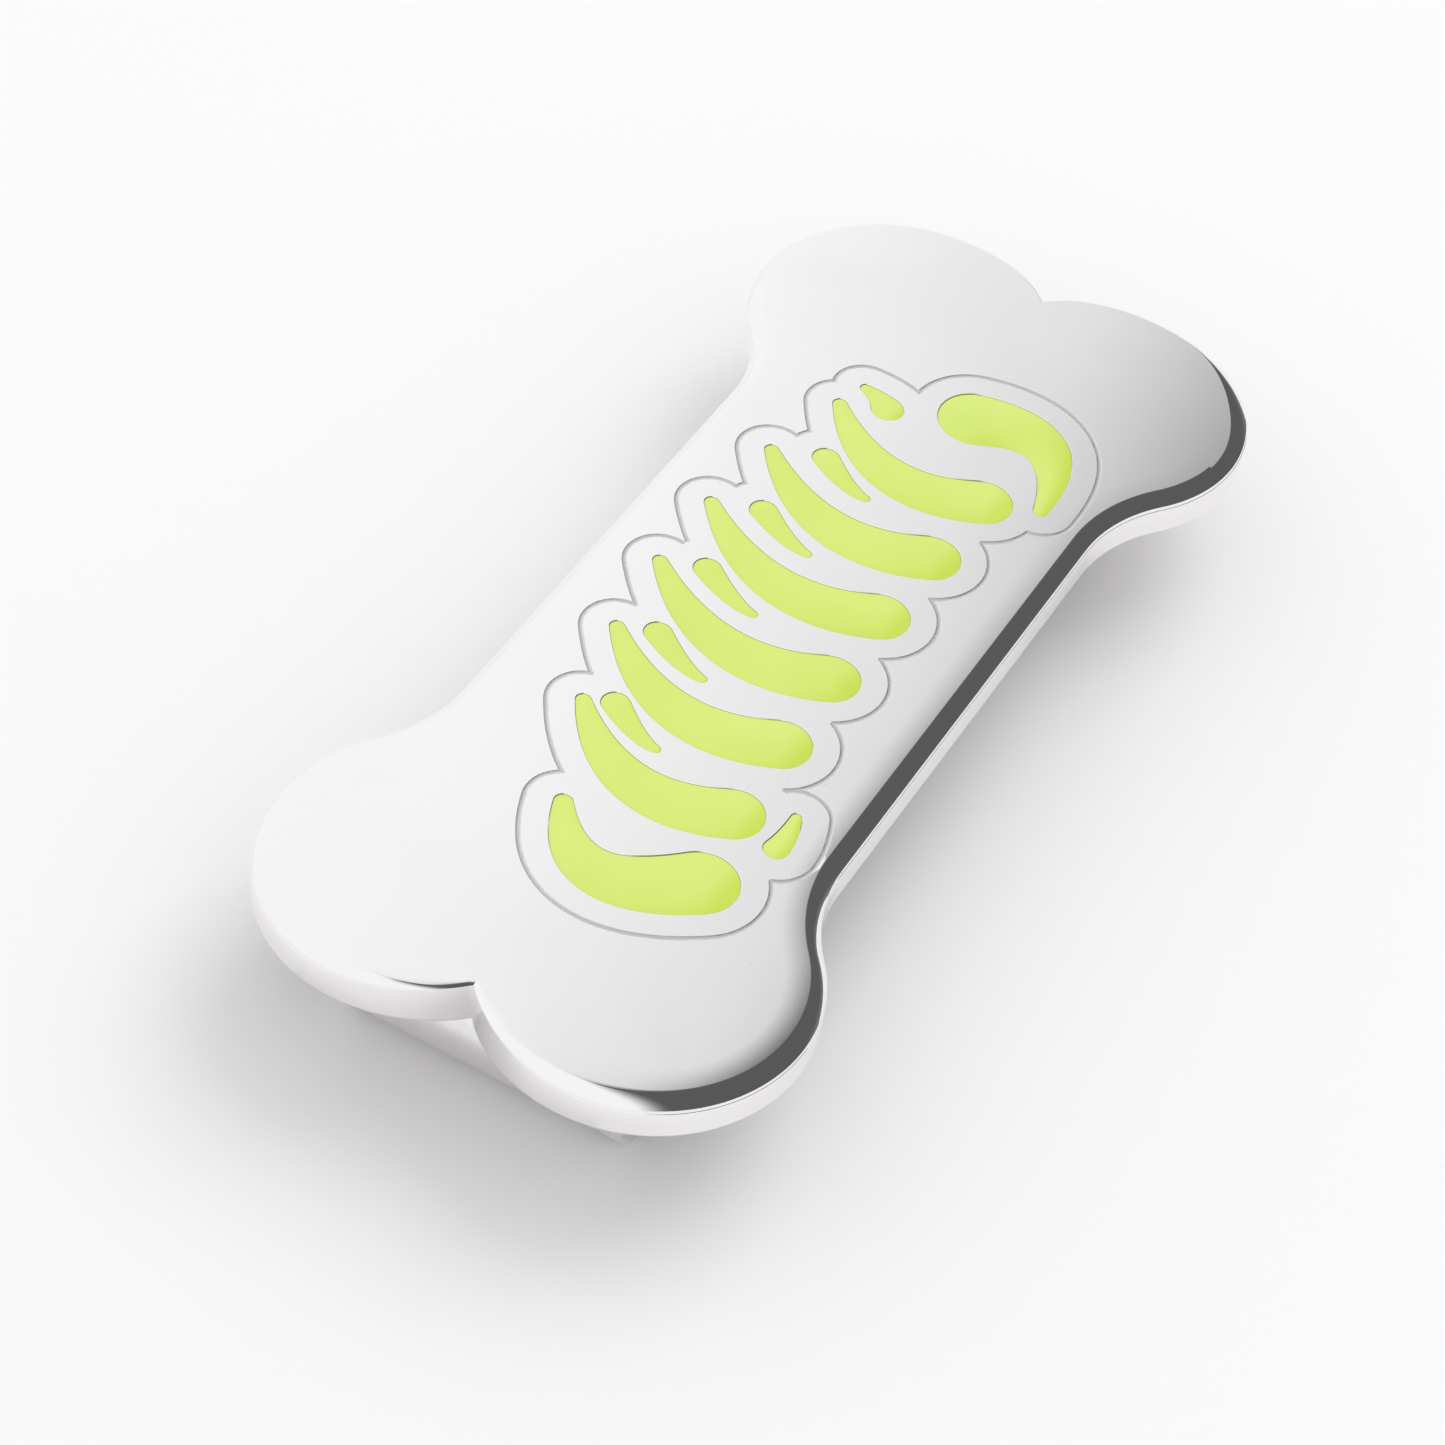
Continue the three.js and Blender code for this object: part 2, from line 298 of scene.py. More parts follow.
def noiseNode(tree, scale, detail, source=None):
    # noise on the piece's own coordinates, or on a vector that is given
    if source is None:
        source = tree.nodes.new("ShaderNodeTexCoord").outputs["Object"]
    node = tree.nodes.new("ShaderNodeTexNoise")
    node.inputs["Scale"].default_value = scale
    node.inputs["Detail"].default_value = detail
    tree.links.new(source, node.inputs["Vector"])
    return node.outputs["Fac"]


def addBump(tree, shader, height, strength=1.0):
    bump = tree.nodes.new("ShaderNodeBump")
    bump.inputs["Strength"].default_value = strength
    bump.inputs["Distance"].default_value = mm
    tree.links.new(height, bump.inputs["Height"])
    tree.links.new(bump.outputs["Normal"], shader.inputs["Normal"])


polishedSteel = {
    "clean": (0.925, 0.912, 0.915), "smudged": (0.905, 0.892, 0.895),
    "roughness": 0.05, "smudgeRoughness": 0.075, "scratchRoughness": 0.02, "speckRoughness": 0.12,
    "scratchHeight": -0.0001, "waveScale": 26.0, "waveDetail": 1.0, "waveHeight": 0.03,
    "scratches": {"Density": 1500.0, "Stretch": 90.0, "Sharpness": 0.006},
    "marks": {"SmudgeScale": 55.0, "SpeckScale": 1300.0},
}


def makePolishedSteel(settings):
    material, tree, shader = newMaterial("polishedSteel")
    scratches = placeGroup(tree, hairlineGroup, settings["scratches"])
    marks = placeGroup(tree, handlingGroup, settings["marks"])
    colour = mixColours(tree, marks.outputs["Smudge"], settings["clean"], settings["smudged"])
    tree.links.new(colour, shader.inputs["Base Color"])
    soft = rangeNode(tree, marks.outputs["Smudge"], settings["roughness"],
                     settings["smudgeRoughness"])
    scratched = mathNode(tree, "MULTIPLY", scratches.outputs["Mask"], settings["scratchRoughness"])
    specks = mathNode(tree, "MULTIPLY", marks.outputs["Speck"], settings["speckRoughness"])
    rough = mathNode(tree, "ADD", mathNode(tree, "ADD", soft, scratched), specks)
    tree.links.new(rough, shader.inputs["Roughness"])
    shader.inputs["Metallic"].default_value = 1.0
    wave = noiseNode(tree, settings["waveScale"], settings["waveDetail"])
    ripple = mathNode(tree, "MULTIPLY", wave, settings["waveHeight"])
    cuts = mathNode(tree, "MULTIPLY", scratches.outputs["Mask"], settings["scratchHeight"])
    addBump(tree, shader, mathNode(tree, "ADD", ripple, cuts))
    return material


limeEnamel = {
    "thin": (0.63, 0.765, 0.12), "deep": (0.575, 0.73, 0.085),
    "roughness": 0.05, "smudgeRoughness": 0.12, "speckRoughness": 0.15, "ior": 1.58,
    "coatRoughness": 0.03, "cloudScale": 120.0, "cloudDetail": 4.0, "cloudHeight": 0.012,
    "cloudRange": (0.3, 0.7),
    "marks": {"SmudgeScale": 160.0, "SpeckScale": 1700.0, "SpeckSize": 0.1},
}


def makeLimeEnamel(settings):
    material, tree, shader = newMaterial("limeEnamel")
    marks = placeGroup(tree, handlingGroup, settings["marks"])
    cloud = noiseNode(tree, settings["cloudScale"], settings["cloudDetail"])
    colour = mixColours(tree, rangeNode(tree, cloud, 0.0, 1.0, *settings["cloudRange"]),
                        settings["deep"], settings["thin"])
    tree.links.new(colour, shader.inputs["Base Color"])
    rough = rangeNode(tree, marks.outputs["Smudge"], settings["roughness"],
                      settings["smudgeRoughness"])
    specks = mathNode(tree, "MULTIPLY", marks.outputs["Speck"], settings["speckRoughness"])
    tree.links.new(mathNode(tree, "ADD", rough, specks), shader.inputs["Roughness"])
    shader.inputs["IOR"].default_value = settings["ior"]
    shader.inputs["Coat Weight"].default_value = 1.0
    shader.inputs["Coat Roughness"].default_value = settings["coatRoughness"]
    shader.inputs["Coat IOR"].default_value = settings["ior"]
    addBump(tree, shader, mathNode(tree, "MULTIPLY", cloud, settings["cloudHeight"]))
    return material


springSteel = {
    "bright": (0.86, 0.85, 0.85), "dull": (0.80, 0.79, 0.79),
    "roughness": 0.10, "grainRoughness": 0.15, "smudgeRoughness": 0.07, "grainAlong": 60.0,
    "grainAcross": 9000.0, "grainDetail": 3.0, "grainRange": (0.3, 0.7), "grainHeight": 0.0005,
    "scratchHeight": -0.002,
    "bumpStrength": 0.6, "marks": {"SmudgeScale": 80.0, "SpeckScale": 1400.0},
    "scratches": {"Density": 1200.0, "Stretch": 60.0, "Sharpness": 0.01},
}


def makeSpringSteel(settings, name):
    material, tree, shader = newMaterial(name)
    marks = placeGroup(tree, handlingGroup, settings["marks"])
    scratches = placeGroup(tree, hairlineGroup, settings["scratches"])
    coords = tree.nodes.new("ShaderNodeTexCoord")
    stretch = tree.nodes.new("ShaderNodeVectorMath")
    stretch.operation = "MULTIPLY"
    along, across = settings["grainAlong"], settings["grainAcross"]
    stretch.inputs[1].default_value = (along, across, along)
    tree.links.new(coords.outputs["Object"], stretch.inputs[0])
    grain = noiseNode(tree, 1.0, settings["grainDetail"], stretch.outputs[0])
    colour = mixColours(tree, rangeNode(tree, grain, 0.0, 1.0, *settings["grainRange"]),
                        settings["dull"], settings["bright"])
    tree.links.new(colour, shader.inputs["Base Color"])
    rough = rangeNode(tree, grain, settings["roughness"], settings["grainRoughness"],
                      *settings["grainRange"])
    smudge = mathNode(tree, "MULTIPLY", marks.outputs["Smudge"], settings["smudgeRoughness"])
    tree.links.new(mathNode(tree, "ADD", rough, smudge), shader.inputs["Roughness"])
    shader.inputs["Metallic"].default_value = 1.0
    lines = mathNode(tree, "MULTIPLY", grain, settings["grainHeight"])
    cuts = mathNode(tree, "MULTIPLY", scratches.outputs["Mask"], settings["scratchHeight"])
    addBump(tree, shader, mathNode(tree, "ADD", lines, cuts), settings["bumpStrength"])
    return material


studSteel = dict(springSteel, bright=(0.70, 0.70, 0.71), dull=(0.52, 0.52, 0.53), roughness=0.28,
                 grainRoughness=0.46, grainAlong=2500.0, grainAcross=2500.0)

engravedSteel = dict(springSteel, bright=(0.95, 0.93, 0.93), dull=(0.88, 0.86, 0.86),
                     roughness=0.38, grainRoughness=0.62, grainAlong=1500.0, grainAcross=1500.0)

steelMaterial = makePolishedSteel(polishedSteel)
engravedMaterial = makeSpringSteel(engravedSteel, "engravedSteel")
enamelMaterial = makeLimeEnamel(limeEnamel)
springMaterial = makeSpringSteel(springSteel, "springSteel")
studMaterial = makeSpringSteel(studSteel, "studSteel")
print("materials made")


# Flames, sparks, curls and drops are bent spines with a half-width at start, middle and end. In
# the rows, each point of a spine also has its share of the arch's drop.
ornament = {
    "centreX": -0.1, "flameCount": 6, "flamePitch": 6.5, "archDrop": 0.008, "sparkSpread": 1.02,
    "flameSpine": ((-0.3, -5.0, 0.3), (-4.0, 1.8, 0.5), (2.7, 8.6, 1.1)),
    "flameWidths": (2.0, 1.9, 0.5),
    "sparkSpine": ((0.55, 5.75, 0.9), (-1.25, 3.05, 0.7), (-1.35, 1.5, 0.6)),
    "sparkWidths": (0.92, 0.64, 0.34),
    "ends": (("curl_left", ((-22.3, -6.7), (-27.9, -0.6), (-21.3, 3.0)), (2.4, 1.9, 0.6)),
             ("curl_right", ((22.8, -1.7), (25.6, -8.2), (17.4, -9.1)), (2.5, 1.7, 0.5)),
             ("drop_left", ((-17.5, -9.1), (-16.3, -9.25), (-14.7, -8.9)), (0.8, 0.65, 0.35)),
             ("drop_right", ((20.3, 3.5), (20.9, 4.1), (21.3, 5.6)), (1.1, 0.8, 0.4))),
    "recessDepth": 0.7, "lipWidth": 0.03, "cutAbove": 0.5,
}


def ornamentStrokes(settings):
    strokes = []
    flames = settings["flameCount"]
    rows = (("flame", flames, 1.0), ("spark", flames - 1, settings["sparkSpread"]))
    for kind, count, spread in rows:
        for i in range(count):
            middle = (i - (count - 1) / 2) * settings["flamePitch"]
            drop = settings["archDrop"] * middle * middle
            spine = tuple((middle * spread + x, y - share * drop)
                          for x, y, share in settings[kind + "Spine"])
            strokes.append({"name": f"{kind}_{i + 1}", "spine": spine,
                            "widths": settings[kind + "Widths"]})
    for name, spine, widths in settings["ends"]:
        strokes.append({"name": name, "spine": spine, "widths": widths})
    return strokes


def spineAt(stroke, t):
    (x0, y0), (x1, y1), (x2, y2) = stroke["spine"]
    a, b, c = (1 - t) ** 2, 2 * t * (1 - t), t * t
    w0, w1, w2 = stroke["widths"]
    x = ornament["centreX"] + a * x0 + b * x1 + c * x2
    y = a * y0 + b * y1 + c * y2
    dx = 2 * ((1 - t) * (x1 - x0) + t * (x2 - x1))
    dy = 2 * ((1 - t) * (y1 - y0) + t * (y2 - y1))
    width = a * w0 + b * w1 + c * w2
    widening = 2 * ((1 - t) * (w1 - w0) + t * (w2 - w1))
    return x, y, math.atan2(dy, dx), math.hypot(dx, dy), width, widening


def strokeRing(stroke, grow=0.0, share=1.0, sideSteps=36, capSteps=18, steepest=0.95):
    # the edge of all the circles carried along the spine, as points (x, y, circle radius)
    def around(t, turn):
        x, y, heading, speed, width, widening = spineAt(stroke, t)
        edge = math.acos(min(steepest, max(-steepest, -widening * share / speed)))
        reach = width * share + grow
        angle = heading + turn(edge)
        return x + reach * math.cos(angle), y + reach * math.sin(angle), width

    points = [around(1, lambda e, i=i: e * (2 * i / capSteps - 1)) for i in range(capSteps)]
    points += [around(1 - i / sideSteps, lambda e: e) for i in range(sideSteps)]
    points += [around(0, lambda e, i=i: e + 2 * (math.pi - e) * i / capSteps)
               for i in range(capSteps)]
    points += [around(i / sideSteps, lambda e: -e) for i in range(sideSteps)]
    return points


def joinRings(rings):
    # rings of equal length, each a list of (x, y, z), walled together and capped
    count = len(rings[0])
    points = [p for ring in rings for p in ring]
    faces = []
    for level in range(len(rings) - 1):
        low = level * count
        for i in range(count):
            j = (i + 1) % count
            faces.append((low + i, low + j, low + count + j, low + count + i))
    last = (len(rings) - 1) * count
    faces.append(tuple(range(count - 1, -1, -1)))
    faces.append(tuple(range(last, last + count)))
    return points, faces


strokes = ornamentStrokes(ornament)

# the engraved line: how far out it runs and its cut, and how finely its path is worked out
engraving = {
    "offset": 1.75, "width": 0.32, "depth": 0.028, "spacing": 0.14, "waver": 0.35, "overlap": 0.14,
    "waverScale": 1400.0, "sectionPoints": 14, "sideSteps": 150, "capSteps": 70, "spineSteps": 120,
    "clearOfOthers": 0.001, "clearOfOwn": 0.02, "shortestRun": 4, "widestCusp": 0.8,
}


def distanceOutside(stroke, points, spineSteps):
    # how far each point lies outside a stroke, less than nothing within it
    steps = [spineAt(stroke, t) for t in np.linspace(0, 1, spineSteps)]
    centres = np.array([(s[0], s[1]) for s in steps])
    widths = np.array([s[4] for s in steps])
    apart = np.linalg.norm(points[:, None, :] - centres[None, :, :], axis=2)
    return (apart - widths[None, :]).min(axis=1)


def outlineAround(allStrokes, settings):
    # the outer edge of all the strokes grown by the offset, as the scallops that meet in its cusps
    offset, steps = settings["offset"], settings["spineSteps"]
    runs = []
    for stroke in allStrokes:
        ring = strokeRing(stroke, offset, 1.0, settings["sideSteps"], settings["capSteps"])
        points = np.array([(p[0], p[1]) for p in ring])
        clear = distanceOutside(stroke, points, steps) > offset - settings["clearOfOwn"]
        for other in allStrokes:
            if other is not stroke:
                clear &= distanceOutside(other, points, steps) > offset - settings["clearOfOthers"]
        starts = [i for i in range(len(points)) if clear[i] and not clear[i - 1]]
        for start in starts:
            run = []
            while clear[(start + len(run)) % len(points)] and len(run) < len(points):
                run.append(points[(start + len(run)) % len(points)])
            if len(run) >= settings["shortestRun"]:
                runs.append(run)
    scallops = [max(runs, key=len)]
    first = scallops[0][0]
    while len(scallops) < len(runs):
        end = scallops[-1][-1]
        nearest = min(runs, key=lambda run: np.linalg.norm(run[0] - end))
        if nearest[0] is first or np.linalg.norm(nearest[0] - end) > settings["widestCusp"]:
            break
        scallops.append(nearest)
    return scallops


# The edge falls away from a crisp arris down to the wall. Inside the arris the polish rolls the
# face over a little, most at the fold end.
plateShape = {
    "lobeRadius": 10.1, "waistWidth": 25.9, "blendRadius": 10.3,
    "edgeWidth": 0.85, "edgeDepth": 0.85, "wallArris": 0.07, "outerTilt": 50.0, "innerTilt": 26.0,
    "edgeRings": 14, "arrisRound": 0.03, "softWidth": 1.6, "softDepth": 0.028, "softRings": 9,
    "broadEdge": 0.5, "broadHeading": -62.0, "broadSpan": 42.0, "broadFrom": 4.0,
    "notchEdge": 0.1, "notchX": 36.07, "notchSpan": 10.5, "softLength": 60.0,
    # the small steps of the back edge and of the arris at the top of the wall: (inset, rise)
    "backInset": 1.2, "backSteps": ((0.31, 0.0), (0.25, 0.01), (0.02, 0.22), (0.0, 0.3)),
    "wallSteps": ((0.0, -0.9), (0.0, -0.07), (0.008, -0.0315), (0.028, -0.005)), "fineBelow": 0.93,
    "lobeSteps": 64, "blendSteps": 20, "waistSteps": 16, "smoothAngle": 14.0,
}


def boneQuarter(shape, inset):
    centreX = plateHigh.x - shape["lobeRadius"]
    centreY = plateHigh.y - shape["lobeRadius"]
    radius = shape["lobeRadius"] - inset
    hollow = shape["blendRadius"] + inset
    blendY = shape["waistWidth"] / 2 + shape["blendRadius"]
    reach = shape["lobeRadius"] + shape["blendRadius"]
    blendX = centreX - math.sqrt(reach ** 2 - (blendY - centreY) ** 2)
    notch = -math.asin(centreY / radius)
    meet = math.atan2(blendY - centreY, blendX - centreX)
    points = []
    for i in range(shape["lobeSteps"] + 1):
        angle = notch + (meet - notch) * i / shape["lobeSteps"]
        points.append((centreX + radius * math.cos(angle), centreY + radius * math.sin(angle)))
    for i in range(1, shape["blendSteps"] + 1):
        angle = meet + math.pi + (math.pi / 2 - meet) * i / shape["blendSteps"]
        points.append((blendX + hollow * math.cos(angle), blendY + hollow * math.sin(angle)))
    waistX, waistY = points[-1]
    steps = shape["waistSteps"]
    points += [(waistX * (1 - i / steps), waistY) for i in range(1, steps)]
    return points


def boneOutline(shape, inset):
    quarter = boneQuarter(shape, inset)
    ring = list(quarter)
    ring += [(-x, y) for x, y in reversed(quarter)]
    ring += [(-x, -y) for x, y in quarter[1:]]
    ring += [(x, -y) for x, y in list(reversed(quarter))[:-1]]
    return ring


def smoothStep(low, high, value):
    t = min(1.0, max(0.0, (value - low) / (high - low)))
    return t * t * (3 - 2 * t)


def boneRing(shape, inset, z, soft=0.0):
    # the edge is broader round one lobe, and runs out to a fine line in the notches
    outer = boneOutline(shape, 0.0)
    ring = boneOutline(shape, inset)
    edge, last = shape["edgeWidth"], shape["edgeWidth"] + shape["arrisRound"] + shape["softWidth"]
    extra = min(inset, edge) * min(1.0, (last - inset) / (last - edge)) * shape["broadEdge"]
    broad = boneOutline(shape, inset + extra)
    lobeX = plateHigh.x - shape["lobeRadius"]
    lobeY = plateLow.y + shape["lobeRadius"]
    points = []
    for (x0, y0), (x, y), (x1, y1) in zip(outer, ring, broad):
        share = 0.0
        if x0 > lobeX - shape["broadFrom"] and y0 < 0:
            heading = math.degrees(math.atan2(y0 - lobeY, x0 - lobeX))
            share = 1 - smoothStep(0, shape["broadSpan"], abs(heading - shape["broadHeading"]))
        away = math.hypot(abs(x0) - shape["notchX"], y0)
        least = shape["notchEdge"]
        fine = least + (1 - least) * smoothStep(0.0, shape["notchSpan"], away)
        x = x0 + (x + (x1 - x) * share - x0) * fine
        y = y0 + (y + (y1 - y) * share - y0) * fine
        height = z
        if z > plateTop - shape["fineBelow"]:
            height = plateTop - (plateTop - z) * fine
        points.append((x, y, height - soft * min(1.0, max(0.0, 0.5 - x / shape["softLength"]))))
    return points


def plateProfile(shape):
    # (inset from the wall, height, soft fall) from the back face up the wall and in over the top
    wallTop = plateTop - shape["edgeDepth"]
    steps = [(shape["backInset"], plateBottom, 0)]
    steps += [(inset, plateBottom + rise, 0) for inset, rise in shape["backSteps"]]
    steps += [(inset, wallTop + rise, 0) for inset, rise in shape["wallSteps"]]
    span = shape["edgeWidth"] - shape["wallArris"]
    fall = math.radians(shape["outerTilt"] - shape["innerTilt"]) / span
    inner = math.radians(shape["innerTilt"])
    for i in range(shape["edgeRings"] + 1):
        left = span * (1 - i / shape["edgeRings"])
        if i == shape["edgeRings"]:
            left = shape["arrisRound"]
        below = (math.log(math.cos(inner)) - math.log(math.cos(inner + fall * left))) / fall
        steps.append((shape["edgeWidth"] - left, plateTop - below, shape["softDepth"]))
    for i in range(shape["softRings"] + 1):
        part = i / shape["softRings"]
        inset = shape["edgeWidth"] + shape["arrisRound"] + shape["softWidth"] * part
        steps.append((inset, plateTop, shape["softDepth"] * (1 - part) ** 2))
    return steps


def makeRecessCutter():
    points, faces = [], []
    for stroke in strokes:
        lip = ornament["lipWidth"]
        levels = ((0.0, -ornament["recessDepth"]), (0.0, -lip), (lip, 0.0), (lip * 2, lip),
                  (lip * 2, ornament["cutAbove"]))
        rings = [[(p[0], p[1], plateTop + z) for p in strokeRing(stroke, grow)]
                 for grow, z in levels]
        newPoints, newFaces = joinRings(rings)
        shift = len(points)
        points += newPoints
        faces += [tuple(i + shift for i in face) for face in newFaces]
    return newMesh("recessCutter", points, faces)


def makeEngravingTree(settings):
    # sweeps a shallow half-round cutter along the engraved outline
    tree = bpy.data.node_groups.new("engravingCutter", "GeometryNodeTree")
    tree.interface.new_socket(name="Geometry", in_out="INPUT", socket_type="NodeSocketGeometry")
    for label, value in (("Width", 0.0003), ("Depth", 0.0001), ("Spacing", 0.0002), ("Waver", 0.1)):
        socket = tree.interface.new_socket(name=label, in_out="INPUT", socket_type="NodeSocketFloat")
        socket.default_value = value
    tree.interface.new_socket(name="Geometry", in_out="OUTPUT", socket_type="NodeSocketGeometry")
    parts = addNodes(tree, {
        "in": "NodeGroupInput", "out": "NodeGroupOutput", "toCurve": "GeometryNodeMeshToCurve",
        "resample": "GeometryNodeResampleCurve", "circle": "GeometryNodeCurvePrimitiveCircle",
        "flatten": "GeometryNodeTransform", "size": "ShaderNodeCombineXYZ",
        "sweep": "GeometryNodeCurveToMesh", "noise": "ShaderNodeTexNoise",
        "waver": "ShaderNodeMath", "centre": "ShaderNodeMath", "one": "ShaderNodeMath",
        "radius": "GeometryNodeSetCurveRadius", "half": "ShaderNodeMath",
        "realize": "GeometryNodeRealizeInstances", "material": "GeometryNodeSetMaterial"})
    links = tree.links
    links.new(parts["in"].outputs["Geometry"], parts["toCurve"].inputs["Mesh"])
    links.new(parts["toCurve"].outputs["Curve"], parts["resample"].inputs["Curve"])
    parts["resample"].mode = "LENGTH"
    links.new(parts["in"].outputs["Spacing"], parts["resample"].inputs["Length"])
    parts["noise"].inputs["Scale"].default_value = settings["waverScale"]
    parts["centre"].operation = "SUBTRACT"
    parts["centre"].inputs[1].default_value = 0.5
    links.new(parts["noise"].outputs["Fac"], parts["centre"].inputs[0])
    parts["waver"].operation = "MULTIPLY"
    links.new(parts["centre"].outputs[0], parts["waver"].inputs[0])
    links.new(parts["in"].outputs["Waver"], parts["waver"].inputs[1])
    parts["one"].operation = "ADD"
    parts["one"].inputs[1].default_value = 1.0
    links.new(parts["waver"].outputs[0], parts["one"].inputs[0])
    links.new(parts["resample"].outputs["Curve"], parts["radius"].inputs["Curve"])
    links.new(parts["one"].outputs[0], parts["radius"].inputs["Radius"])
    parts["circle"].inputs["Resolution"].default_value = settings["sectionPoints"]
    parts["circle"].inputs["Radius"].default_value = 1.0
    parts["half"].operation = "MULTIPLY"
    parts["half"].inputs[1].default_value = 0.5
    links.new(parts["in"].outputs["Width"], parts["half"].inputs[0])
    links.new(parts["half"].outputs[0], parts["size"].inputs["X"])
    links.new(parts["in"].outputs["Depth"], parts["size"].inputs["Y"])
    parts["size"].inputs["Z"].default_value = 1.0
    links.new(parts["circle"].outputs["Curve"], parts["flatten"].inputs["Geometry"])
    links.new(parts["size"].outputs[0], parts["flatten"].inputs["Scale"])
    links.new(parts["radius"].outputs["Curve"], parts["sweep"].inputs["Curve"])
    links.new(parts["flatten"].outputs["Geometry"], parts["sweep"].inputs["Profile Curve"])
    parts["sweep"].inputs["Fill Caps"].default_value = True
    links.new(parts["sweep"].outputs["Mesh"], parts["realize"].inputs["Geometry"])
    links.new(parts["realize"].outputs["Geometry"], parts["material"].inputs["Geometry"])
    parts["material"].inputs["Material"].default_value = engravedMaterial
    links.new(parts["material"].outputs["Geometry"], parts["out"].inputs["Geometry"])
    return tree


def lengthened(scallop, overlap):
    # runs a scallop on a little past both ends, so that neighbours meet
    first = scallop[0] - scallop[1]
    last = scallop[-1] - scallop[-2]
    start = scallop[0] + first / np.linalg.norm(first) * overlap
    end = scallop[-1] + last / np.linalg.norm(last) * overlap
    return [start, *scallop, end]


def makeEngravingCutter(tree, scallop, settings):
    scallop = lengthened(scallop, settings["overlap"])
    mesh = bpy.data.meshes.new("engravingPath")
    edges = [(i, i + 1) for i in range(len(scallop) - 1)]
    mesh.from_pydata([(x * mm, y * mm, plateTop * mm) for x, y in scallop], edges, [])
    cutter = bpy.data.objects.new("engravingCutter", mesh)
    bpy.context.scene.collection.objects.link(cutter)
    modifier = cutter.modifiers.new("engraving", "NODES")
    modifier.node_group = tree
    for label, value in (("Width", settings["width"] * mm), ("Depth", settings["depth"] * mm),
                         ("Spacing", settings["spacing"] * mm), ("Waver", settings["waver"])):
        modifier[socketNamed(tree, label)] = value
    evaluatedCopy(cutter)
    cutter.data.materials.clear()
    for material in (steelMaterial, engravedMaterial):
        cutter.data.materials.append(material)
    cutter.data.polygons.foreach_set("material_index", [1] * len(cutter.data.polygons))
    cutter.data.shade_smooth()
    return cutter


def cutAway(piece, cutter):
    boolean = piece.modifiers.new("cut", "BOOLEAN")
    boolean.operation = "DIFFERENCE"
    boolean.solver = "MANIFOLD"
    boolean.object = cutter
    evaluatedCopy(piece)
    bpy.data.objects.remove(cutter)


def flattenTop(piece, level=0.99999, near=0.001):
    # the level face keeps its own normals, so the thin faces left by the cuts do not show
    for face in piece.data.polygons:
        if face.normal.z > level and abs(face.center.z / mm - plateTop) < near:
            face.use_smooth = False


def makeFrontPlate(shape):
    rings = [boneRing(shape, inset, z, soft) for inset, z, soft in plateProfile(shape)]
    points, faces = joinRings(rings)
    plate = newMesh("frontPlate", points, faces)
    for material in (steelMaterial, engravedMaterial):
        plate.data.materials.append(material)
    cutAway(plate, makeRecessCutter())
    tree = makeEngravingTree(engraving)
    for scallop in outlineAround(strokes, engraving):
        cutAway(plate, makeEngravingCutter(tree, scallop, engraving))
    smoothByAngle(plate, shape["smoothAngle"])
    flattenTop(plate)
    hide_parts("front_plate")
    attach(plate, "front")
    return plate


makeFrontPlate(plateShape)
print("front plate made")


enamelShape = {
    "edgeBelow": 0.06, "crown": 0.038, "rings": 9, "wallGap": 0.012, "floorGap": 0.01,
    "innermost": 0.02, "smoothAngle": 40.0,
}


def makeEnamelCell(stroke, shape):
    low = plateTop - ornament["recessDepth"] + shape["floorGap"]
    edge = plateTop - shape["edgeBelow"]
    gap = -shape["wallGap"]
    rings = [[(p[0], p[1], low) for p in strokeRing(stroke, grow=gap)]]
    for i in range(shape["rings"] + 1):
        share = 1 - i / shape["rings"]
        ring = strokeRing(stroke, grow=gap * share, share=max(share, shape["innermost"]))
        crown = 1 - share * share
        rings.append([(p[0], p[1], edge + crown * shape["crown"] * p[2]) for p in ring])
    points, faces = joinRings(rings)
    cell = newMesh(f"enamel_{stroke['name']}", points, faces)
    smoothByAngle(cell, shape["smoothAngle"])
    giveMaterial(cell, enamelMaterial)
    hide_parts(f"enamel_{stroke['name']}")
    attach(cell, "front")
    return cell


for stroke in strokes:
    makeEnamelCell(stroke, enamelShape)
print("enamel cells made")


stripShape = {
    "thickness": legHigh.z - legLow.z, "edgeRadius": 0.22, "cornerRadius": 3.5, "edgeSteps": 5,
    "flatEndX": 0.0, "crestX": 17.0, "tipLift": 0.02, "foldSteps": 40, "flatSteps": 16,
    "rampSteps": 44, "straightSteps": 12, "endSteps": 14, "smoothAngle": 40.0,
    "bendReach": (3.0, -7.0),  # two distances from the top of the fold, in X and Z
}


def ribbonSection(halfWidth, thickness, radius, steps):
    # a rounded slot outline across the strip: (across, out of the strip's middle)
    corners = ((1, 1, 0.0), (-1, 1, 0.5), (-1, -1, 1.0), (1, -1, 1.5))
    section = []
    for signY, signZ, start in corners:
        for i in range(steps + 1):
            angle = math.pi * (start + 0.5 * i / steps)
            section.append((signY * (halfWidth - radius) + radius * math.cos(angle),
                            signZ * (thickness / 2 - radius) + radius * math.sin(angle)))
    return section


def sweepRibbon(name, path, halfWidths, shape):
    # path is a list of (x, z) along the strip's middle, halfWidths its half width at each
    rings = []
    for i, (x, z) in enumerate(path):
        ahead = path[min(i + 1, len(path) - 1)]
        behind = path[max(i - 1, 0)]
        length = math.hypot(ahead[0] - behind[0], ahead[1] - behind[1])
        alongX, alongZ = (ahead[0] - behind[0]) / length, (ahead[1] - behind[1]) / length
        section = ribbonSection(halfWidths[i], shape["thickness"], shape["edgeRadius"],
                                shape["edgeSteps"])
        rings.append([(x - alongZ * out, across, z + alongX * out) for across, out in section])
    points, faces = joinRings(rings)
    return newMesh(name, points, faces)


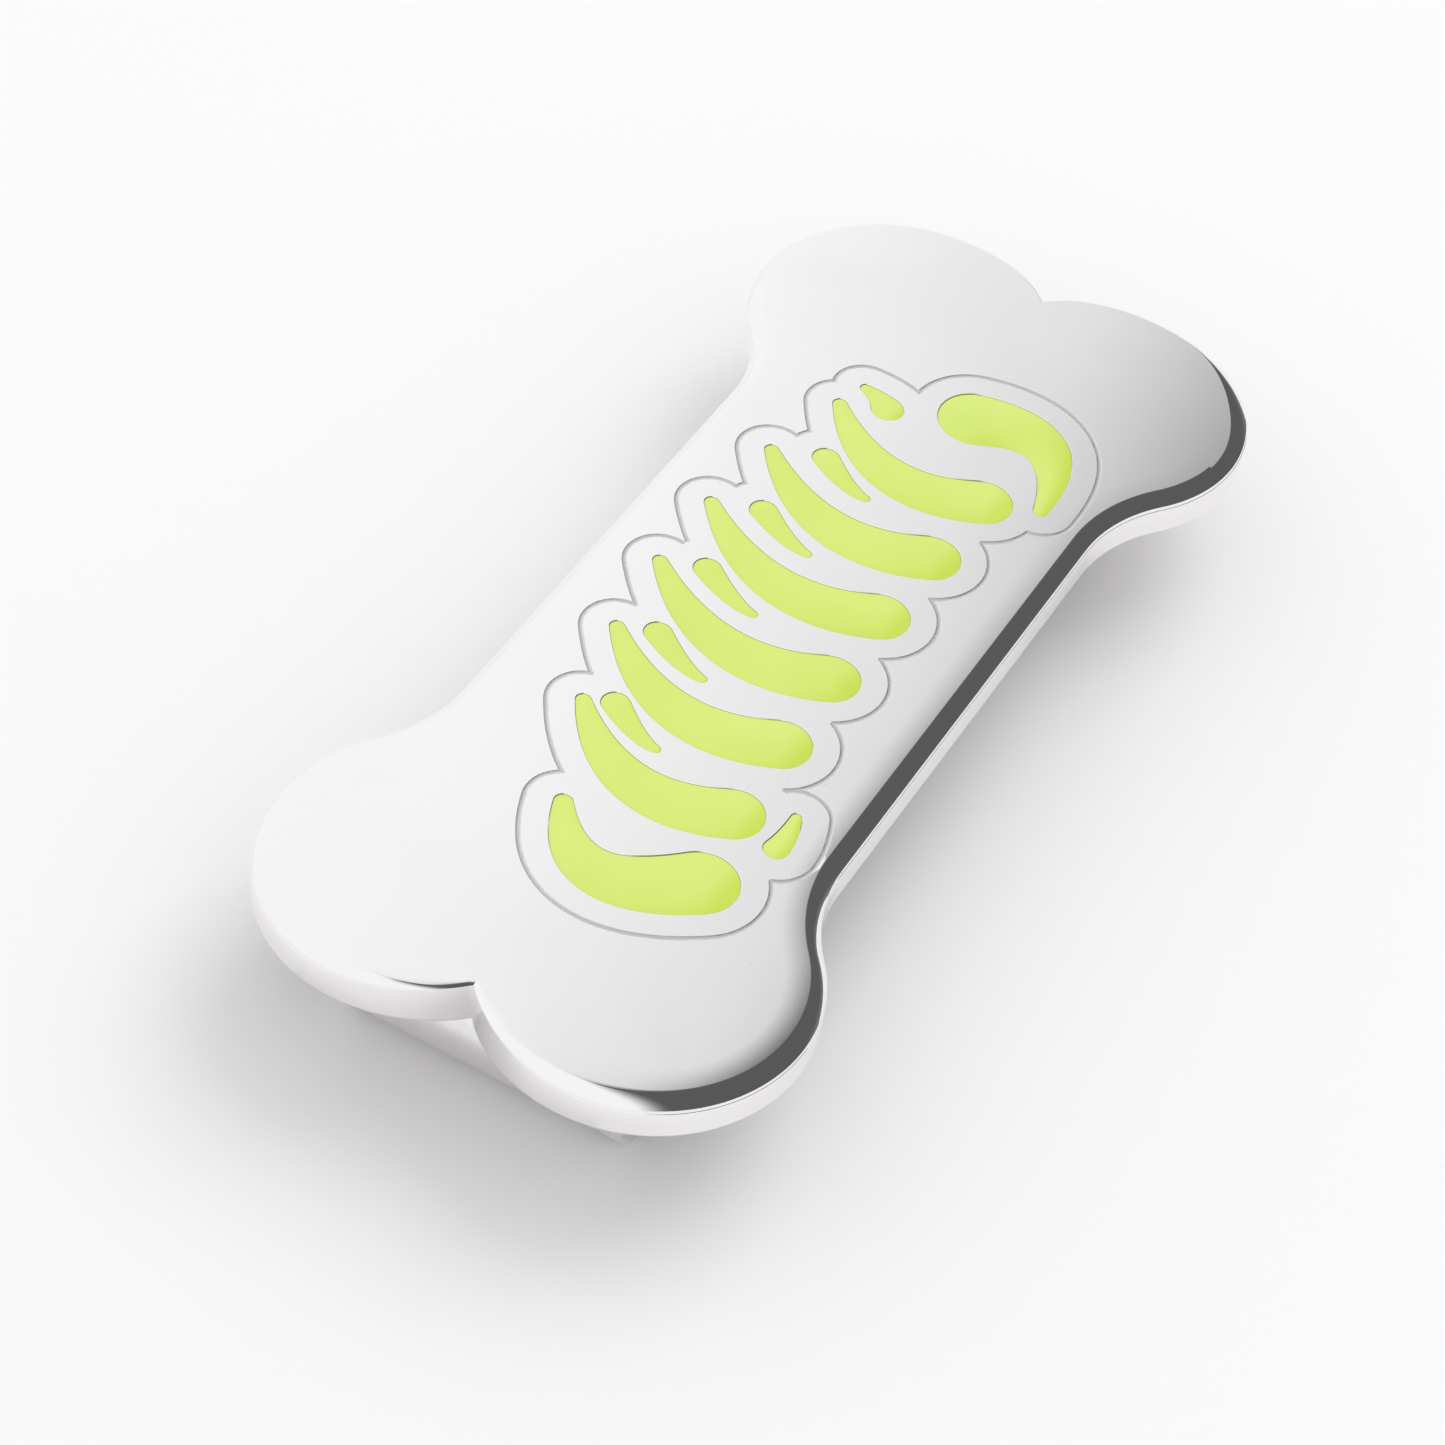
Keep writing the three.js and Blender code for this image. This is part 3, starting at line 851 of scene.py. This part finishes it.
def roundedEnd(path, shape, halfWidth):
    # half width at each station, drawn in over the corner radius at the far end
    lengths = [0.0]
    for before, after in zip(path, path[1:]):
        lengths.append(lengths[-1] + math.hypot(after[0] - before[0], after[1] - before[1]))
    widths = []
    for length in lengths:
        left = lengths[-1] - length
        radius = shape["cornerRadius"]
        into = max(0.0, radius - left)
        widths.append(halfWidth - radius + math.sqrt(max(0.0, radius * radius - into * into)))
    return widths


def endStations(startX, endX, shape):
    # stations that crowd towards the rounded end
    radius = shape["cornerRadius"]
    straight, steps = shape["straightSteps"], shape["endSteps"]
    inner = [startX + (endX - radius - startX) * i / straight for i in range(straight)]
    return inner + [endX - radius + radius * math.sin(math.pi / 2 * i / steps)
                    for i in range(steps + 1)]


def ease(t):
    return (1 - math.cos(math.pi * t)) / 2


def leafPath(shape):
    half = shape["thickness"] / 2
    foldX = foldHigh.x
    foldZ = (foldLow.z + foldHigh.z) / 2
    radius = foldHigh.z - half - foldZ
    path = []
    for i in range(shape["foldSteps"] + 1):
        angle = math.pi * (0.5 + i / shape["foldSteps"])
        path.append((foldX + radius * math.cos(angle), foldZ + radius * math.sin(angle)))
    restZ = leafLow.z + half
    crestZ = leafHigh.z - half
    flat = shape["flatSteps"]
    path += [(foldX + (shape["flatEndX"] - foldX) * i / flat, restZ) for i in range(1, flat)]
    for i in range(shape["rampSteps"] + 1):
        t = i / shape["rampSteps"]
        path.append((shape["flatEndX"] + (shape["crestX"] - shape["flatEndX"]) * t,
                     restZ + (crestZ - restZ) * ease(t)))
    tipX = leafHigh.x
    for x in endStations(shape["crestX"], tipX, shape)[1:]:
        t = (x - shape["crestX"]) / (tipX - shape["crestX"])
        path.append((x, crestZ + (restZ + shape["tipLift"] - crestZ) * ease(t)))
    return path


def makeSpringStrip(shape):
    halfWidth = legHigh.y
    legPath = [(x, (legLow.z + legHigh.z) / 2) for x in endStations(legLow.x, legHigh.x, shape)]
    leg = sweepRibbon("springFrontLeg", legPath, roundedEnd(legPath, shape, halfWidth), shape)
    path = leafPath(shape)
    leaf = sweepRibbon("springFoldAndLeaf", path, roundedEnd(path, shape, halfWidth), shape)
    for piece in (leg, leaf):
        smoothByAngle(piece, shape["smoothAngle"])
        giveMaterial(piece, springMaterial)
    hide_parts("spring_front_leg")
    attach(leg, "front")
    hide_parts("spring_fold", "spring_leaf")
    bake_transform(leaf)


makeSpringStrip(stripShape)
print("spring strip made")


studShape = {
    "centreX": -6.0, "spacingX": 36.0, "spacingY": 11.0, "steps": 32, "smoothAngle": 40.0,
    # (radius, rise) from the head's lowest point, from the leg's back and from the shank's end
    "head": ((0.35, 0.0), (0.8, 0.012), (1.25, 0.06), (1.6, 0.15), (1.8, 0.25)),
    "collar": ((1.9, -0.02), (1.9, 0.0), (1.2, 0.01)), "shank": ((1.2, -0.1), (1.1, 0.0)),
}


def makeStudTree():
    # one filed stud on each corner of a rectangle
    tree = bpy.data.node_groups.new("studRows", "GeometryNodeTree")
    tree.interface.new_socket(name="Geometry", in_out="INPUT", socket_type="NodeSocketGeometry")
    for label, value in (("Length", 0.036), ("Width", 0.011)):
        socket = tree.interface.new_socket(name=label, in_out="INPUT", socket_type="NodeSocketFloat")
        socket.default_value = value
    socket = tree.interface.new_socket(name="Seed", in_out="INPUT", socket_type="NodeSocketInt")
    socket.default_value = 3
    tree.interface.new_socket(name="Geometry", in_out="OUTPUT", socket_type="NodeSocketGeometry")
    parts = addNodes(tree, {
        "in": "NodeGroupInput", "out": "NodeGroupOutput", "grid": "GeometryNodeMeshGrid",
        "place": "GeometryNodeInstanceOnPoints", "turn": "FunctionNodeRandomValue",
        "spin": "ShaderNodeCombineXYZ", "realize": "GeometryNodeRealizeInstances",
        "material": "GeometryNodeSetMaterial"})
    links = tree.links
    parts["grid"].inputs["Vertices X"].default_value = 2
    parts["grid"].inputs["Vertices Y"].default_value = 2
    links.new(parts["in"].outputs["Length"], parts["grid"].inputs["Size X"])
    links.new(parts["in"].outputs["Width"], parts["grid"].inputs["Size Y"])
    links.new(parts["grid"].outputs["Mesh"], parts["place"].inputs["Points"])
    links.new(parts["in"].outputs["Geometry"], parts["place"].inputs["Instance"])
    parts["turn"].data_type = "FLOAT"
    parts["turn"].inputs[3].default_value = 6.28  # about one whole turn
    links.new(parts["in"].outputs["Seed"], parts["turn"].inputs["Seed"])
    links.new(parts["turn"].outputs[1], parts["spin"].inputs["Z"])
    links.new(parts["spin"].outputs[0], parts["place"].inputs["Rotation"])
    links.new(parts["place"].outputs["Instances"], parts["realize"].inputs["Geometry"])
    links.new(parts["realize"].outputs["Geometry"], parts["material"].inputs["Geometry"])
    parts["material"].inputs["Material"].default_value = studMaterial
    links.new(parts["material"].outputs["Geometry"], parts["out"].inputs["Geometry"])
    return tree


def makeStuds(shape):
    low, high = (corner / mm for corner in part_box("stud_1"))
    profile = [(radius, low.z + rise) for radius, rise in shape["head"]]
    profile += [(radius, legLow.z + rise) for radius, rise in shape["collar"]]
    profile += [(radius, high.z + rise) for radius, rise in shape["shank"]]
    turns = [math.tau * i / shape["steps"] for i in range(shape["steps"])]
    rings = [[(radius * math.cos(turn), radius * math.sin(turn), z) for turn in turns]
             for radius, z in profile]
    points, faces = joinRings(rings)
    studs = newMesh("studs", points, faces)
    tree = makeStudTree()
    modifier = studs.modifiers.new("rows", "NODES")
    modifier.node_group = tree
    modifier[socketNamed(tree, "Length")] = shape["spacingX"] * mm
    modifier[socketNamed(tree, "Width")] = shape["spacingY"] * mm
    evaluatedCopy(studs)
    studs.data.transform(Matrix.Translation((shape["centreX"] * mm, 0, 0)))
    smoothByAngle(studs, shape["smoothAngle"])
    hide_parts("stud_1", "stud_2", "stud_3", "stud_4")
    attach(studs, "front")


makeStuds(studShape)
print("studs made")


studio = {
    "floorColour": (0.872, 0.862, 0.868), "worldStrength": 1.0, "skyLight": 0.92,
    "keyPower": 4.9, "keySize": 0.9, "keyPlace": (0.76, -0.18, 0.99),
    "horizon": (0.34, 0.0, 0.2),  # least light at the horizon, above it, and how high it fades
    "floorRoughness": 0.7, "backgroundLight": 0.95,
    # dark cards: azimuth, elevation, inner and outer radius in degrees, how dark
    "cards": ((-81, 15, 84.5, 93.0, 0.24), (-81, 15, 82.0, 87.5, 0.86)),
    "cardLimit": {"azimuth": -35, "inner": -0.12, "outer": -0.42},
}


def makeCardGroup():
    tree = newShaderGroup(
        "studioCard",
        [("Towards", "NodeSocketVector", (0, 0, 1)), ("Inner", "NodeSocketFloat", 0.9),
         ("Outer", "NodeSocketFloat", 0.8), ("Limit", "NodeSocketVector", (1, 0, 0)),
         ("Limit Inner", "NodeSocketFloat", 0.0), ("Limit Outer", "NodeSocketFloat", -0.3),
         ("Darkness", "NodeSocketFloat", 0.9)],
        [("Light", "NodeSocketFloat")])
    parts = addNodes(tree, {
        "in": "NodeGroupInput", "out": "NodeGroupOutput", "coords": "ShaderNodeTexCoord",
        "dot": "ShaderNodeVectorMath", "ramp": "ShaderNodeMapRange",
        "limitDot": "ShaderNodeVectorMath", "limitRamp": "ShaderNodeMapRange",
        "both": "ShaderNodeMath", "times": "ShaderNodeMath",
        "rest": "ShaderNodeMath"})
    links = tree.links
    ramps = (("dot", "ramp", "Towards", "Inner", "Outer"),
             ("limitDot", "limitRamp", "Limit", "Limit Inner", "Limit Outer"))
    for dot, ramp, towards, inner, outer in ramps:
        parts[dot].operation = "DOT_PRODUCT"
        links.new(parts["coords"].outputs["Generated"], parts[dot].inputs[0])
        links.new(parts["in"].outputs[towards], parts[dot].inputs[1])
        parts[ramp].interpolation_type = "SMOOTHSTEP"
        links.new(parts[dot].outputs["Value"], parts[ramp].inputs["Value"])
        links.new(parts["in"].outputs[outer], parts[ramp].inputs["From Min"])
        links.new(parts["in"].outputs[inner], parts[ramp].inputs["From Max"])
    parts["both"].operation = "MULTIPLY"
    links.new(parts["ramp"].outputs["Result"], parts["both"].inputs[0])
    links.new(parts["limitRamp"].outputs["Result"], parts["both"].inputs[1])
    parts["times"].operation = "MULTIPLY"
    links.new(parts["both"].outputs[0], parts["times"].inputs[0])
    links.new(parts["in"].outputs["Darkness"], parts["times"].inputs[1])
    parts["rest"].operation = "SUBTRACT"
    parts["rest"].inputs[0].default_value = 1.0
    links.new(parts["times"].outputs[0], parts["rest"].inputs[1])
    links.new(parts["rest"].outputs[0], parts["out"].inputs["Light"])
    return tree


def makeStudio(settings):
    world = bpy.data.worlds.new("studio")
    bpy.context.scene.world = world
    world.use_nodes = True
    tree = world.node_tree
    background = tree.nodes["Background"]
    group = makeCardGroup()
    light = None
    limit = settings["cardLimit"]
    sideways = math.radians(limit["azimuth"])
    for azimuth, elevation, inner, outer, darkness in settings["cards"]:
        a, e = math.radians(azimuth), math.radians(elevation)
        towards = (math.cos(e) * math.cos(a), math.cos(e) * math.sin(a), math.sin(e))
        card = placeGroup(tree, group, {
            "Towards": towards, "Inner": math.cos(math.radians(inner)),
            "Outer": math.cos(math.radians(outer)), "Darkness": darkness,
            "Limit": (math.cos(sideways), math.sin(sideways), 0),
            "Limit Inner": limit["inner"], "Limit Outer": limit["outer"]})
        lit = card.outputs["Light"]
        light = lit if light is None else mathNode(tree, "MULTIPLY", light, lit)
    path = tree.nodes.new("ShaderNodeLightPath")
    direct = mathNode(tree, "MULTIPLY", path.outputs["Is Camera Ray"], settings["backgroundLight"])
    seen = mathNode(tree, "MAXIMUM", light, direct)
    coords = tree.nodes.new("ShaderNodeTexCoord")
    split = tree.nodes.new("ShaderNodeSeparateXYZ")
    tree.links.new(coords.outputs["Generated"], split.inputs[0])
    top, bottom, glow = settings["horizon"]
    horizon = rangeNode(tree, split.outputs["Z"], 0.0, glow, top, bottom)
    seen = mathNode(tree, "MAXIMUM", seen, horizon)
    diffuse = path.outputs["Is Diffuse Ray"]
    matt = mathNode(tree, "MULTIPLY", diffuse, settings["skyLight"])
    shiny = mathNode(tree, "MULTIPLY", seen, mathNode(tree, "SUBTRACT", 1.0, diffuse))
    tree.links.new(mathNode(tree, "ADD", matt, shiny), background.inputs["Color"])
    background.inputs["Strength"].default_value = settings["worldStrength"]

    half = sceneScale["floorSize"] / 2
    corners = [(-half, -half, 0), (half, -half, 0), (half, half, 0), (-half, half, 0)]
    floor = newMesh("floor", corners, [(0, 1, 2, 3)], scale=1.0)
    material, _, shader = newMaterial("floorPaper")
    shader.inputs["Base Color"].default_value = (*settings["floorColour"], 1)
    shader.inputs["Roughness"].default_value = settings["floorRoughness"]
    giveMaterial(floor, material)

    key = bpy.data.lights.new("key", "AREA")
    key.energy = settings["keyPower"]
    key.size = settings["keySize"]
    lamp = bpy.data.objects.new("key", key)
    place = Vector(settings["keyPlace"])
    turn = place.to_track_quat("Z", "Y").to_matrix().to_4x4()
    lamp.matrix_world = Matrix.Translation(place) @ turn
    lamp.visible_glossy = False
    bpy.context.scene.collection.objects.link(lamp)
    bpy.context.scene.view_settings.view_transform = "Standard"


makeStudio(studio)
print("studio made")
